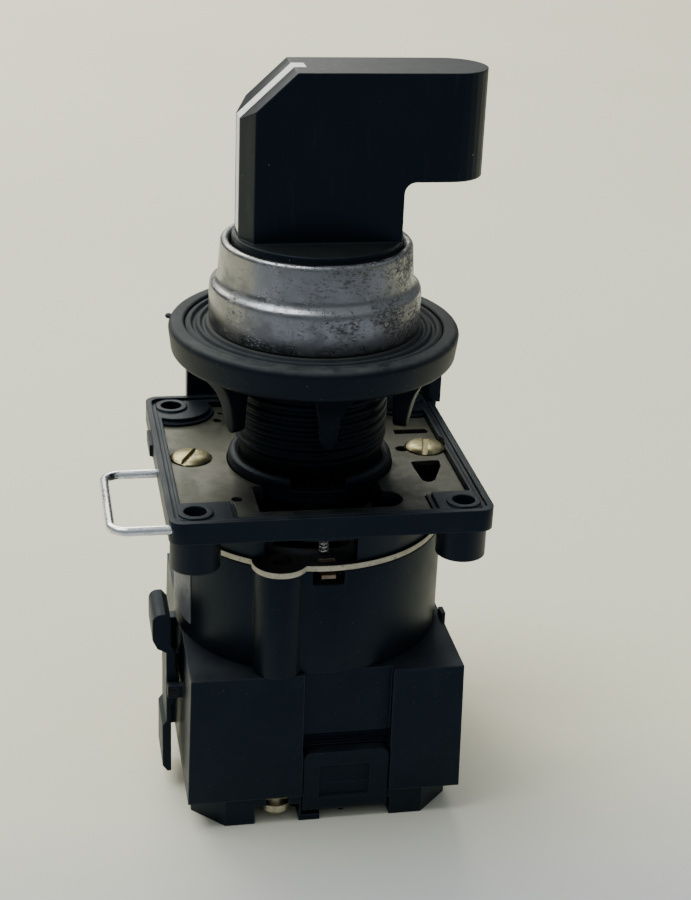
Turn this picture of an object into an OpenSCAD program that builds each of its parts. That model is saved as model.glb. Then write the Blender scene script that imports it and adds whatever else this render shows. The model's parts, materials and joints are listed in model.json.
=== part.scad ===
// Lever-handle selector switch: a 22 mm panel operator locked into a square
// mounting frame, with a round cam housing and a two-pole contact block below.
// Origin: centre of the four corner holes, on the top plane of the frame's rim.
// +Z points from the contact block towards the handle, -Y is the front.

/* [Handle] */
// Length of the stem from the axis to its indicator end
stem_left = 11.3; // [10:0.1:11.6]
// Length of the stem from the axis to the side under the flag
stem_right = 11; // [9.5:0.1:11.2]
// Reach of the flag from the axis
flag_reach = 22.8; // [18:0.1:26]
// Thickness of the handle
handle_t = 10.7; // [9:0.1:11]
// Height of the handle above its round foot
handle_h = 23.2; // [20:0.1:28]
// Height of the flag at its nose
flag_h = 14.8; // [12:0.1:16]
// Width of the white indicator strip
indicator_w = 2.8; // [1.5:0.1:3.4]

/* [Operator] */
// Diameter of the threaded neck
neck_d = 22; // [21.6:0.1:22.2]
// Outer diameter of the bezel at the gasket
bezel_d = 29.9; // [29:0.1:31]
// Outer diameter of the bezel at its top rim
bezel_top_d = 27; // [26.6:0.1:27.4]
// Height of the bezel
bezel_h = 12.2; // [11.5:0.1:13]
// Diameter of the turning shaft
shaft_d = 8; // [7:0.1:8.2]
// Outer diameter of the ring nut
nut_d = 41.6; // [40:0.1:42.4]
// Number of grip fins on the ring nut
fin_count = 6; // [4:1:8]

/* [Frame] */
// Width of the square mounting frame
frame_w = 45; // [44:0.5:48]
// Thickness of the frame's flange
frame_t = 3.2; // [3:0.1:4]
// Distance of each corner hole from both centre lines
hole_xy = 18.7; // [18.2:0.1:19]
// Diameter of the corner holes
hole_d = 3.2; // [3:0.1:3.6]
// Depth of the round skirt under the flange
skirt_h = 5.6; // [5:0.1:7]
// Diameter of the wire of the release bail
wire_d = 1.3; // [1:0.1:1.3]

/* [Housing] */
// Diameter of the cam housing
housing_d = 39.8; // [39:0.1:40]
// Width of the contact block at its top
block_w = 39.6; // [38.8:0.1:40]
// Height of the contact block without its cover
block_h = 20.4; // [19:0.1:22]
// Total height of the base cover and its feet
cover_h = 4.6; // [4:0.1:6]

/* [Contacts] */
// Distance of each plunger from the axis
plunger_x = 7; // [6:0.1:8]
// Travel of a plunger from mid to either limit
plunger_travel = 1.5; // [1:0.1:1.6]
// Turn of the handle from the middle to either side, in degrees
turn_deg = 45; // [30:1:60]

/* [Hidden] */
$fn = 64;

neck_r = neck_d / 2;
shaft_r = shaft_d / 2;
nut_r = nut_d / 2;
frame_r = frame_w / 2;

// Heights up the axis
bezel_z = 20.2;                     // underside of the bezel
bezel_top = bezel_z + bezel_h;      // top of the bezel rim
foot_z = 33.2;                      // top of the handle's round foot
handle_top = foot_z + handle_h;
nut_z = 15.7;                       // underside of the ring nut's disc
fin_tip_z = 6.4;                    // tips of the grip fins
floor_z = -1.3;                     // top of the sheet-metal floor plate
skirt_z = -frame_t - skirt_h;       // underside of the frame's skirt
plate_t = 0.9;                      // thickness of the insulating plate
housing_z = skirt_z - plate_t;      // top of the cam housing
block_z = -26.1;                    // top of the contact block
cover_z = block_z - block_h;        // top of the base cover
base_z = cover_z - cover_h;         // plane the switch stands on

// Corner positions of the frame, counter-clockwise from the front left
CORNERS = [[-1, -1], [1, -1], [1, 1], [-1, 1]];

// Outer silhouette of the bezel, from the top rim down to the gasket
bezel_r = bezel_d / 2;
bezel_top_r = bezel_top_d / 2;
bezel_bore_r = 12.2;

// Locking end of the neck, below the thread
lock_r = 10.3;

// The lower box stands off the axis by this much
BLOCK_AT = [0.45, -0.4];

// Screw lobes of the housing: one at the front left, one at the rear right
lobe_x = 6.7;
lobe_y = 17.4;
lobe_r = 3.6;

// Swash cam: rises by plunger_travel at turn_deg
cam_slope = atan(plunger_travel / (plunger_x * sin(turn_deg)));
cam_z = -12;                        // height of the sloping face on the axis
plunger_top = cam_z - 0.35;
bridge_z = -31;
spring_seat_z = -42;
strip_y = 12;                       // where the contact strips turn down

// The front and rear leg of the release bail as [y, z]: the loop tilts up towards the front
BAIL_LEGS = [[-21, -1.45], [-0.6, -2.55]];
bail_out = 30.2;

// Terminal screws; the front right one stands back behind the front latch
TERMINALS = [[-6.6, -17.6], [7, -15.3], [7, 17.3], [-7, 17.3]];

// Screws that hold the floor plate: x, y and the angle of the slot
PLATE_SCREWS = [[-17.3, 1.6, 62], [18, 2.2, 76]];
plate_sink = 0.35;                  // depth of the round seat under each screw head

// Rocking side latch: its pin and the span it covers
side_pin = [-20.9, -33.5];
side_y0 = -9.2;
side_y1 = -1.4;

// A box given by its lowest and highest corner
module box(lo, hi) {
    translate(lo) cube(hi - lo);
}

// A tube standing on z0 with its top at z1
module tube(outer_r, inner_r, z0, z1) {
    translate([0, 0, z0]) difference() {
        cylinder(r = outer_r, h = z1 - z0, $fn = 96);
        translate([0, 0, -1]) cylinder(r = inner_r, h = z1 - z0 + 2, $fn = 96);
    }
}

// A square outline with rounded corners, centred on the axis
module rounded_square(half, r) {
    inner = half - r;
    union() {
        square([2 * half, 2 * inner], center = true);
        square([2 * inner, 2 * half], center = true);
        for (c = CORNERS) translate([c[0] * inner, c[1] * inner]) circle(r = r);
    }
}

// A rectangle whose four corners are cut at 45 degrees
module chamfered_rectangle(x0, y0, x1, y1, cut) {
    polygon([[x0 + cut, y0], [x1 - cut, y0], [x1, y0 + cut], [x1, y1 - cut],
             [x1 - cut, y1], [x0 + cut, y1], [x0, y1 - cut], [x0, y0 + cut]]);
}

// Points of an arc about c, from angle a0 to a1
function arc(c, r, a0, a1, n) =
    [for (i = [0 : n]) let (a = a0 + (a1 - a0) * i / n) [c[0] + r * cos(a), c[1] + r * sin(a)]];

// A coil spring between z0 and z1, as a stack of tilted rings joined end to end
module coil(coil_r, wire_r, z0, z1, turns) {
    steps = 12;
    n = turns * steps;
    pitch = (z1 - z0 - 2 * wire_r) / turns;
    sides = 6;
    pts = [for (i = [0 : n]) let (a = 360 * i / steps, z = z0 + wire_r + pitch * i / steps)
               for (j = [0 : sides - 1]) let (b = 360 * j / sides, r = coil_r + wire_r * cos(b))
                   [r * cos(a), r * sin(a), z + wire_r * sin(b)]];
    walls = [for (i = [0 : n - 1]) for (j = [0 : sides - 1]) let (k = (j + 1) % sides)
                 [i * sides + j, (i + 1) * sides + j, (i + 1) * sides + k, i * sides + k]];
    caps = [[for (j = [0 : sides - 1]) j],
            [for (j = [sides - 1 : -1 : 0]) n * sides + j]];
    polyhedron(points = pts, faces = concat(walls, caps));
}

// ---------------------------------------------------------------- turning parts

// Side outline of the handle: stem, flag, chamfered indicator corner
module handle_side() {
    flag_z = handle_top - flag_h;
    fillet = 1.6;
    polygon(concat(
        [[-stem_left, foot_z], [stem_right, foot_z]],
        arc([stem_right + fillet, flag_z - fillet], fillet, 180, 90, 6),
        [[flag_reach, flag_z], [flag_reach, handle_top],
         [-4.1, handle_top], [-stem_left, handle_top - 6.8]]));
}

// Plan outline of the handle: bevelled indicator end, round nose
module handle_plan() {
    t = handle_t / 2;
    bevel = 1.7;
    strip = 2.1;
    polygon(concat(
        [[-stem_left, strip], [-stem_left, -strip], [-stem_left + bevel, -t]],
        arc([flag_reach - t, 0], t, -90, 90, 16),
        [[-stem_left + bevel, t]]));
}

// The strip runs up the indicator end, over the chamfer and onto the top
module indicator_path(depth) {
    top_end = -2.4;
    x = -stem_left;
    polygon([[x - 1, foot_z + 0.6], [x + depth, foot_z + 0.6],
             [x + depth, handle_top - 6.8 - 0.4 * depth], [-4.1 + 0.4 * depth, handle_top - depth],
             [top_end, handle_top - depth], [top_end, handle_top + 1], [-4.5, handle_top + 1],
             [x - 1, handle_top - 6.4]]);
}

module handle_blank() {
    intersection() {
        translate([0, handle_t / 2, 0]) rotate([90, 0, 0])
            linear_extrude(height = handle_t) handle_side();
        translate([0, 0, foot_z - 1]) linear_extrude(height = handle_h + 2) handle_plan();
    }
}

module indicator_cut() {
    translate([0, indicator_w / 2, 0]) rotate([90, 0, 0])
        linear_extrude(height = indicator_w) indicator_path(0.6);
}

module handle() {
    color([0.06, 0.06, 0.065]) difference() {
        union() {
            handle_blank();
            translate([0, 0, bezel_top - 1.1]) cylinder(r = 11.9, h = foot_z - bezel_top + 1.1);
        }
        indicator_cut();
        translate([0, 0, bezel_top - 2]) cylinder(r = shaft_r + 0.02, h = 10);
    }
}

module indicator_strip() {
    color("white") intersection() {
        handle_blank();
        indicator_cut();
    }
}

// Shaft from the handle down to the cam, with a groove for the clip
module drive_shaft() {
    color([0.75, 0.76, 0.78]) rotate_extrude() polygon([
        [0, -10.6], [shaft_r, -10.6], [shaft_r, 20.4], [shaft_r - 0.7, 20.4],
        [shaft_r - 0.7, 21.5], [shaft_r, 21.5], [shaft_r, bezel_top + 6.9], [0, bezel_top + 6.9]]);
}

// Star wheel with a notch every turn_deg
module detent_star() {
    notches = 8;
    color([0.85, 0.82, 0.72]) difference() {
        tube(5.55, shaft_r + 0.02, 2, 6);
        for (i = [0 : notches - 1]) rotate(90 + 360 / notches * i)
            translate([6.95, 0, 1]) cylinder(r = 1.75, h = 6, $fn = 32);
    }
}

module retaining_clip() {
    color([0.55, 0.55, 0.57]) difference() {
        tube(5.6, shaft_r - 0.65, 20.5, 21.4);
        box([-1.2, -7, 20], [1.2, 0, 22]);
    }
}

// Swash cam: its sloping underside lowers one plunger as it raises the other
module drive_cam() {
    color([0.85, 0.82, 0.72]) difference() {
        union() {
            translate([0, 0, cam_z - 3.2]) cylinder(r = 9.6, h = 7.2);
            translate([0, 0, -8]) cylinder(r = 6.2, h = 2.6);
        }
        translate([0, 0, cam_z]) rotate([-cam_slope, 0, 0]) translate([-20, -20, -20])
            cube([40, 40, 20]);
        translate([0, 0, -10.65]) cylinder(r = shaft_r + 0.02, h = 8);
    }
}

// ---------------------------------------------------------------- operator head

module bezel() {
    ledge_z = bezel_z + 6.6;
    color([0.68, 0.69, 0.7]) rotate_extrude($fn = 128) polygon(concat(
        [[bezel_bore_r, bezel_z + 2.7], [13.95, bezel_z + 2.7], [13.95, bezel_z],
         [bezel_r - 0.1, bezel_z], [bezel_r, bezel_z + 0.2], [bezel_r + 0.05, ledge_z - 1.3]],
        arc([bezel_r - 0.85, ledge_z - 1.15], 0.9, 0, 75, 5),
        arc([bezel_top_r + 0.8, ledge_z + 0.15], 0.4, 270, 185, 4),
        [[bezel_top_r + 0.2, ledge_z + 2.4], [bezel_top_r, bezel_top - 0.3],
         [bezel_top_r - 0.3, bezel_top], [bezel_bore_r + 0.15, bezel_top],
         [bezel_bore_r, bezel_top - 0.15]]));
}

// Threaded neck with a clamping flange under the bezel and a locking groove
module operator_body() {
    thread_top = 13.5;
    pitch = 1.5;
    rings = 8;
    crest = neck_r;
    root = neck_r - 0.5;
    lock_top = -1.8;
    thread = [for (i = [0 : rings - 1]) for (p = [[root, 0], [crest, 0.55], [crest, 0.75], [root, 1.3]])
                  [p[0], thread_top - (rings - i) * pitch + p[1]]];
    color([0.05, 0.05, 0.055]) difference() {
        rotate_extrude($fn = 96) polygon(concat(
            [[8.5, -6], [lock_r - 0.3, -6], [lock_r, -5.7], [lock_r, -3.4], [lock_r - 1, -3.4],
             [lock_r - 1, lock_top], [lock_r, lock_top], [lock_r, 0.9], [root, 1.4]],
            thread,
            [[root, thread_top], [neck_r - 0.05, thread_top + 0.4], [neck_r - 0.05, bezel_z + 0.05],
             [13.75, bezel_z + 0.05], [13.75, bezel_z + 2.65], [12.05, bezel_z + 2.65],
             [12.05, bezel_top - 1.4], [9.6, bezel_top - 1.4], [9.6, 29.2], [8.5, 29.2],
             [8.5, 7.2], [6.6, 7.2], [6.6, 0.8], [8.5, 0.8]]));
        translate([0, 6, 4]) rotate([-90, 0, 0]) cylinder(r = 1.34, h = 4.3, $fn = 32);
    }
}

module bearing_bush() {
    color([0.72, 0.58, 0.3]) tube(8.48, shaft_r + 0.05, 22, 29.1);
}

module shaft_seal() {
    color([0.08, 0.08, 0.08]) translate([0, 0, 30.1]) rotate_extrude()
        translate([shaft_r + 1.05, 0]) circle(r = 0.9, $fn = 24);
}

module detent_ball() {
    color([0.8, 0.8, 0.82]) translate([0, 7.05, 4]) sphere(r = 1.25, $fn = 32);
}

module detent_spring() {
    color([0.7, 0.7, 0.72]) translate([0, 8.45, 4]) rotate([-90, 0, 0]) coil(0.9, 0.2, 0, 1.7, 3);
}

module panel_gasket() {
    color([0.13, 0.13, 0.13]) rotate_extrude($fn = 96) polygon([
        [11.2, 18.1], [18.3, 18.1], [18.3, 19.7], [17.9, 20], [17.5, 20], [17.2, 19.5],
        [16.9, 19.5], [16.6, 20], [16.2, 20], [15.9, 19.6], [15.6, 19.6], [15.3, 20.05],
        [13.8, 20.05], [11.2, 20.05]]);
}

module slip_washer() {
    color([0.8, 0.79, 0.74]) tube(18, neck_r + 0.35, 17.35, 18);
}

// One grip fin: wide and deep at the disc, narrow at its rounded tip
module grip_fin() {
    steps = 6;
    fin_h = nut_z - fin_tip_z;
    function half_w(t) = 1.05 + 0.65 * t + 1.5 * pow(t, 4);
    function outer_r(t) = 14.6 + 1.6 * t + 3.1 * pow(t, 4);
    rise = [for (i = [0 : steps]) i / steps];
    down = [for (i = [steps : -1 : 0]) i / steps];
    intersection() {
        translate([0, -10, 0]) rotate([90, 0, 0]) linear_extrude(height = 11) polygon(concat(
            arc([0, fin_tip_z + 1.05], 1.05, 180, 360, 6),
            [for (t = rise) if (t > 0.12) [half_w(t), fin_tip_z + fin_h * t]],
            [for (t = down) if (t > 0.12) [-half_w(t), fin_tip_z + fin_h * t]]));
        rotate_extrude() polygon(concat(
            [[12.7, nut_z], [12.7, fin_tip_z - 1]],
            [for (t = rise) [outer_r(t), fin_tip_z + fin_h * t - (t == 0 ? 1 : 0)]]));
    }
}

// Ring nut: disc with a recess for gasket and washer, and fins to grip it by
module ring_nut() {
    land_r = 18.4;
    color([0.14, 0.14, 0.14]) union() {
        rotate_extrude($fn = 128) polygon([
            [neck_r + 0.3, 14.2], [13.4, 14.2], [14.4, nut_z], [nut_r - 0.7, nut_z],
            [nut_r - 0.05, bezel_z - 0.5], [nut_r - 0.45, bezel_z], [land_r + 0.1, bezel_z],
            [land_r, bezel_z - 0.2], [land_r, 17.3], [neck_r + 0.3, 17.3]]);
        for (i = [0 : fin_count - 1]) rotate(360 / fin_count * i) grip_fin();
    }
}

// ---------------------------------------------------------------- frame

// Ring on the frame's floor that the neck drops into, with a slot for the bail
module socket_ring() {
    bore = lock_r + 0.1;
    color([0.11, 0.11, 0.12]) difference() {
        rotate_extrude($fn = 96) polygon([
            [bore, -3.1], [11.9, -3.1], [12, -2.9], [12, -0.4], [11.85, 0.05], [11.45, 0.35],
            [11, 0.35], [bore, 0.05]]);
        box([-14, -1.55, -4], [-9, 1.25, -1.6]);
        box([-4.5, -14, -1.2], [3.3, -9, 1]);
    }
}

// Pads that carry the corner holes: 0 front left, 1 front right, 2 and 3 rear
module corner_pads(extra) {
    lo = 14.9 - extra;
    translate([-frame_r, -frame_r]) square([frame_r - 13.6 + extra, frame_r - 15.4 + extra]);
    translate([lo, -frame_r]) square([frame_r - lo, frame_r - 15.2 + extra]);
    translate([hole_xy, hole_xy]) circle(r = 4.6 + extra);
    translate([-hole_xy + 0.8, hole_xy + 0.3]) circle(r = 5.1 + extra);
}

// Opening in the floor in front of the socket ring, with a round right end
module front_opening() {
    translate([-9.7, -17.2]) square([18.1, 8.2]);
    translate([8.4, -14.7]) circle(r = 2.5);
}

// Funnel-shaped opening in the floor on the right
module side_opening() {
    polygon([[15, -2.7], [18.8, -2.5], [19, -2.9], [18.8, -4.6], [16.9, -9.2], [16.2, -9.8],
             [15.5, -9.8], [15, -9.2], [14.7, -4.8], [14.7, -3]]);
}

// Holes cut in the sheet-metal floor
module floor_cuts() {
    circle(r = 12.2, $fn = 96);
    front_opening();
    side_opening();
    translate([14.5, 1.4]) square([3, 1.3]);
    translate([14.4, 2.05]) circle(r = 1);
    for (s = PLATE_SCREWS) translate([s[0], s[1]]) circle(r = 1.7);
    translate([14.5, 7.5]) square([4.5, 1.6]);
    translate([19, 8.3]) circle(r = 0.8);
    translate([-11.9, 15.2]) circle(r = 0.7);
    translate([-11.1, 17.9]) circle(r = 0.5);
    translate([-12.3, -12.9]) circle(r = 0.8);
}

// Square flange with a grooved rim, round skirt, corner bosses, bail channels
module mounting_frame() {
    window_x = [-8.9, 3.9];
    color([0.1, 0.1, 0.11]) difference() {
        union() {
            translate([0, 0, -frame_t]) linear_extrude(height = frame_t)
                rounded_square(frame_r, 2);
            translate([0, 0, skirt_z]) cylinder(r = 19.4, h = skirt_h + 1, $fn = 96);
            for (c = CORNERS) translate([c[0] * hole_xy, c[1] * hole_xy, -8])
                cylinder(r = 3.5, h = 6);
            for (s = PLATE_SCREWS) translate([s[0], s[1], skirt_z]) cylinder(r = 3, h = 6);
            box([-frame_r - 0.5, 6.2, -2.9], [-frame_r + 1, 11.9, -1.1]);
            rear_guard();
        }
        // Rim groove, inner ledge and the tray that takes the floor plate
        difference() {
            translate([0, 0, -0.5]) linear_extrude(height = 1) rounded_square(frame_r - 0.9, 1.4);
            translate([0, 0, -1]) linear_extrude(height = 1) rounded_square(frame_r - 1.5, 1.1);
        }
        translate([0, 0, -0.3]) linear_extrude(height = 0.6) difference() {
            rounded_square(frame_r - 1.5, 1.1);
            for (c = CORNERS) translate([c[0] * hole_xy, c[1] * hole_xy]) circle(r = 2.4);
        }
        difference() {
            translate([0, 0, -1.9]) linear_extrude(height = 3) rounded_square(frame_r - 2, 0.8);
            translate([0, 0, -2]) linear_extrude(height = 2) corner_pads(0);
            translate([0, 0, -2]) linear_extrude(height = 1.05) corner_pads(0.6);
        }
        // Room for the neck, the socket ring and the works below
        translate([0, 0, -4]) cylinder(r = 12.1, h = 5, $fn = 96);
        translate([0, 0, skirt_z - 1]) cylinder(r = 17.2, h = skirt_h + 0.8, $fn = 96);
        translate([0, 0, -frame_t - 1]) linear_extrude(height = 2.5) {
            front_opening();
            side_opening();
        }
        box([window_x[0], -24, skirt_z - 1], [window_x[1], -12, -5.2]);
        for (c = CORNERS) translate([c[0] * hole_xy, c[1] * hole_xy, -9])
            cylinder(d = hole_d, h = 10);
        for (s = PLATE_SCREWS) translate([s[0], s[1], 0]) {
            translate([0, 0, -8.2]) cylinder(r = 1.3, h = 8);
            translate([0, 0, floor_z - plate_sink]) cylinder(r = 3.05, h = 2);
        }
        // Bore for the front leg of the bail and channel for the rear one
        translate([-15.9, BAIL_LEGS[0][0], BAIL_LEGS[0][1]]) rotate([0, -90, 0])
            cylinder(r = 0.72, h = 8);
        box([-frame_r - 1, BAIL_LEGS[1][0] - 0.72, -frame_t - 0.1],
            [-11.7, BAIL_LEGS[1][0] + 0.72, -1.85]);
    }
}

// Low wall that wraps the rear edge and the rear right corner of the flange
module rear_guard() {
    guard_h = 9;
    union() {
        box([-15.9, frame_r - 0.2, -2.4], [24, frame_r + 2.4, guard_h]);
        box([21.6, 16.6, 0], [23.6, frame_r, guard_h]);
        box([22.2, 20.6, -2.4], [24, frame_r, guard_h]);
    }
}

module floor_plate() {
    color([0.42, 0.42, 0.36]) difference() {
        translate([0, 0, floor_z - 0.55]) linear_extrude(height = 0.55) difference() {
            rounded_square(frame_r - 2.1, 0.7);
            corner_pads(0.75);
            floor_cuts();
        }
        for (s = PLATE_SCREWS) translate([s[0], s[1], floor_z - plate_sink]) cylinder(r = 3.15, h = 1);
    }
}

// Slotted cheese-head screws that hold the floor plate
module plate_screws() {
    color([0.78, 0.62, 0.3]) for (s = PLATE_SCREWS)
        translate([s[0], s[1], floor_z - plate_sink]) rotate(s[2]) difference() {
            union() {
                rotate_extrude() polygon([[0, 0.02], [2.95, 0.02], [2.95, 0.5], [2.3, 0.95], [0, 1.05]]);
                translate([0, 0, -6]) cylinder(r = 1.25, h = 6.5, $fn = 32);
            }
            box([-4, -0.4, 0.45], [4, 0.4, 2]);
        }
}

// Spring-wire bail: pulled out to the left, it frees the neck
module wire_bail() {
    r = wire_d / 2;
    bend = 2.4;
    bend_x = bend - bail_out;
    leg_end = [-16.2, -9.7];
    front = BAIL_LEGS[0];
    rear = BAIL_LEGS[1];
    span = norm(front - rear);
    tilt = atan2(front[1] - rear[1], rear[0] - front[0]);
    color([0.78, 0.79, 0.8]) translate([0, rear[0], rear[1]]) rotate([-tilt, 0, 0]) {
        for (i = [0, 1]) {
            y = -span * (1 - i);
            translate([leg_end[i], y, 0]) rotate([0, -90, 0])
                cylinder(r = r, h = leg_end[i] - bend_x);
            translate([bend_x, y + (1 - 2 * i) * bend, 0]) rotate(180 - 90 * i)
                rotate_extrude(angle = 90) translate([bend, 0]) circle(r = r, $fn = 24);
        }
        translate([-bail_out, bend - span, 0]) rotate([-90, 0, 0])
            cylinder(r = r, h = span - 2 * bend);
    }
}

// ---------------------------------------------------------------- housings

module housing_outline(r, boss_r) {
    circle(r = r, $fn = 128);
    for (s = [-1, 1]) translate([s * lobe_x, s * lobe_y]) circle(r = boss_r);
}

module insulating_plate() {
    color([0.86, 0.83, 0.68]) translate([0, 0, housing_z + 0.02])
        linear_extrude(height = plate_t - 0.04) difference() {
            housing_outline(housing_d / 2 - 0.1, lobe_r + 0.4);
            circle(r = 14.5);
            for (s = [-1, 1]) translate([s * lobe_x, s * lobe_y]) circle(r = 1.6);
            translate([-1.3, -18.4]) square([2.2, 0.8]);
        }
}

// Small coil spring behind the front window that earths the floor plate
module earth_spring() {
    color([0.85, 0.8, 0.62]) translate([-0.4, -16.1, 0])
        coil(0.62, 0.2, skirt_z + 0.05, -4.25, 7);
}

module earth_tab() {
    color([0.72, 0.45, 0.25]) union() {
        box([-1.2, -18.3, housing_z - 1.1], [0.8, -17.7, skirt_z - 0.05]);
        box([-1.2, -19.9, housing_z - 1.1], [0.8, -18.2, housing_z - 0.55]);
    }
}

// Round housing around the cam, open at the top, with plunger guides in its floor
module cam_housing() {
    floor_t = 2;
    color([0.1, 0.1, 0.11]) difference() {
        translate([0, 0, block_z + 0.05]) linear_extrude(height = housing_z - block_z - 0.05)
            housing_outline(housing_d / 2, lobe_r);
        translate([0, 0, block_z + floor_t]) cylinder(r = 17, h = 30, $fn = 96);
        for (s = [-1, 1]) {
            translate([s * plunger_x, 0, block_z - 1]) cylinder(r = 2.06, h = 6);
            translate([s * lobe_x, s * lobe_y, block_z - 1]) cylinder(r = 1.6, h = 30);
            translate([s * lobe_x, s * lobe_y, housing_z - 2.5]) cylinder(r = 2.9, h = 4);
        }
        box([-2.4, -21, housing_z - 2.1], [2.1, -16, housing_z + 1]);
    }
}

module side_label() {
    color([0.75, 0.75, 0.74]) intersection() {
        tube(housing_d / 2 + 0.12, housing_d / 2 + 0.01, -23.6, -12.2);
        rotate(182) box([0, 0, -24], [30, 7.4, -12]);
    }
}

// Two long screws that clamp the contact block to the cam housing
module through_screws() {
    color([0.7, 0.7, 0.72]) for (s = [-1, 1]) translate([s * lobe_x, s * lobe_y, 0]) difference() {
        union() {
            translate([0, 0, housing_z - 2.4]) cylinder(r = 2.75, h = 2);
            translate([0, 0, -38]) cylinder(r = 1.5, h = housing_z - 2 + 38);
        }
        box([-4, -0.4, housing_z - 1.2], [4, 0.4, housing_z + 1]);
    }
}

// ---------------------------------------------------------------- contacts

// Push rod: follows the cam, carries the contact bridge on its lower spigot
module plunger(side) {
    color([0.85, 0.82, 0.72]) translate([side * plunger_x, 0, 0]) rotate_extrude($fn = 48) polygon([
        [0, bridge_z - 3.5], [1.1, bridge_z - 3.5], [1.1, bridge_z + 1.02], [2, bridge_z + 1.02],
        [2, plunger_top - 1.2], [1.7, plunger_top - 0.7], [1.2, plunger_top - 0.3],
        [0.6, plunger_top - 0.05], [0, plunger_top]]);
}

// Copper bar with a silver button under each end
module bridge(side) {
    color([0.75, 0.47, 0.28]) translate([side * plunger_x, 0, bridge_z]) difference() {
        union() {
            box([-2, -10, 0], [2, 10, 1]);
            for (y = [-8.4, 8.4]) translate([0, y, -0.6]) cylinder(r = 1.3, h = 0.7, $fn = 32);
        }
        translate([0, 0, -1]) cylinder(r = 1.15, h = 3, $fn = 48);
    }
}

module return_spring(side) {
    color([0.75, 0.75, 0.77]) translate([side * plunger_x, 0, 0])
        coil(1.9, 0.28, spring_seat_z + 0.03, bridge_z - 0.03, 7);
}

module plunger_a() { plunger(-1); }
module plunger_b() { plunger(1); }
module bridge_a() { bridge(-1); }
module bridge_b() { bridge(1); }
module return_spring_a() { return_spring(-1); }
module return_spring_b() { return_spring(1); }

// A box between two depths on one side of the middle plane, side = -1 or 1
module side_box(x, half_x, side, near, far, z0, z1) {
    box([x - half_x, min(side * near, side * far), z0], [x + half_x, max(side * near, side * far), z1]);
}

// Four bent contact strips, each with a button under the end of a bridge
module fixed_contacts() {
    top = bridge_z - 0.6 - plunger_travel - 0.15;
    color([0.75, 0.6, 0.32]) for (t = TERMINALS) {
        x = t[0] < 0 ? -plunger_x : plunger_x;
        side = sign(t[1]);
        union() {
            translate([x, side * 8.4, top - 0.6]) cylinder(r = 1.3, h = 0.6, $fn = 32);
            side_box(x, 2, side, 7, strip_y + 0.8, top - 1.4, top - 0.55);
            side_box(x, 2, side, strip_y, strip_y + 0.8, cover_z - 0.9, top - 0.6);
            difference() {
                side_box(x, 2, side, strip_y, abs(t[1]) + 1.9, cover_z - 0.9, cover_z - 0.1);
                translate([t[0], t[1], cover_z - 2]) cylinder(r = 1.5, h = 4, $fn = 32);
            }
        }
    }
}

// Terminal screws under the block, heads facing down
module terminal_screws() {
    head_z = cover_z - 3.6;
    color([0.8, 0.76, 0.62]) for (t = TERMINALS) translate([t[0], t[1], 0]) difference() {
        rotate_extrude($fn = 48) polygon([
            [0, head_z], [1.9, head_z], [2.4, head_z + 0.7], [2.4, head_z + 1.7],
            [1.4, head_z + 1.7], [1.4, cover_z + 4], [0, cover_z + 4]]);
        box([-3, -0.35, head_z - 1], [3, 0.35, head_z + 0.8]);
    }
}

// Lower box: tapered moulding with a recessed middle panel and a latch slot
module contact_block() {
    half = block_w / 2;
    draft = 0.4;
    xc = BLOCK_AT[0];
    yc = BLOCK_AT[1];
    wall = 1.7;
    panel_x = [-3.1, 9.9];
    color([0.09, 0.09, 0.1]) difference() {
        union() {
            difference() {
                hull() {
                    box([-half + xc, -half + yc, block_z - 0.1], [half + xc, half + yc, block_z]);
                    box([-half - draft + xc, -half - draft + yc, cover_z],
                        [half + draft + xc, half + draft + yc, cover_z + 0.1]);
                }
                box([-half + wall + xc, -half + wall + yc, cover_z - 1],
                    [half - wall + xc, half - wall + yc, block_z - wall]);
            }
            for (s = [-1, 1]) translate([s * lobe_x, s * lobe_y, cover_z + 5])
                cylinder(r = 2.3, h = block_h - 6);
            for (t = TERMINALS) translate([t[0], t[1], cover_z]) cylinder(r = 2.4, h = 6);
            // Wall behind the middle panel, so that the latch slot stays closed inside
            box([panel_x[0] - 1.4, -18.4, cover_z + 0.05], [panel_x[1] + 1.4, -16.2, block_z - 1]);
            // Lug on the right shoulder
            box([half - 0.3, -6.6, block_z - 1.5], [half + 0.8, -4.6, block_z - 0.1]);
            box([half + 0.1, -6.6, block_z - 0.2], [half + 0.8, -4.6, block_z + 1.1]);
            side_hinge_ears();
            // Rail behind the side latch
            box([-21, 0.3, cover_z + 0.6], [-19, 2.3, block_z - 1]);
        }
        for (s = [-1, 1]) {
            translate([s * plunger_x, 0, block_z - 4]) cylinder(r = 2.3, h = 5);
            translate([s * lobe_x, s * lobe_y, -38.5]) cylinder(r = 1.55, h = 14);
        }
        for (t = TERMINALS) translate([t[0], t[1], cover_z - 1]) cylinder(r = 1.45, h = 6);
        // Middle panel, finger recess and latch slot
        box([panel_x[0], -22, -36.7], [panel_x[1], -19, block_z + 1]);
        box([panel_x[0], -22, -39.2], [panel_x[1], -17.6, -36.7]);
        box([panel_x[0] + 0.1, -22, cover_z - 1], [panel_x[1] + 0.1, -18.2, -39.2]);
        translate([side_pin[0], side_y1 + 2, side_pin[1]]) rotate([90, 0, 0])
            cylinder(r = 0.62, h = side_y1 - side_y0 + 4, $fn = 32);
    }
}

// Ears that carry the pin of the side latch
module side_hinge_ears() {
    ear_t = 1.2;
    for (y = [side_y0 - 0.2 - ear_t, side_y1 + 0.2])
        box([side_pin[0] - 0.9, y, side_pin[1] - 1], [side_pin[0] + 1.8, y + ear_t, side_pin[1] + 1]);
}

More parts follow.
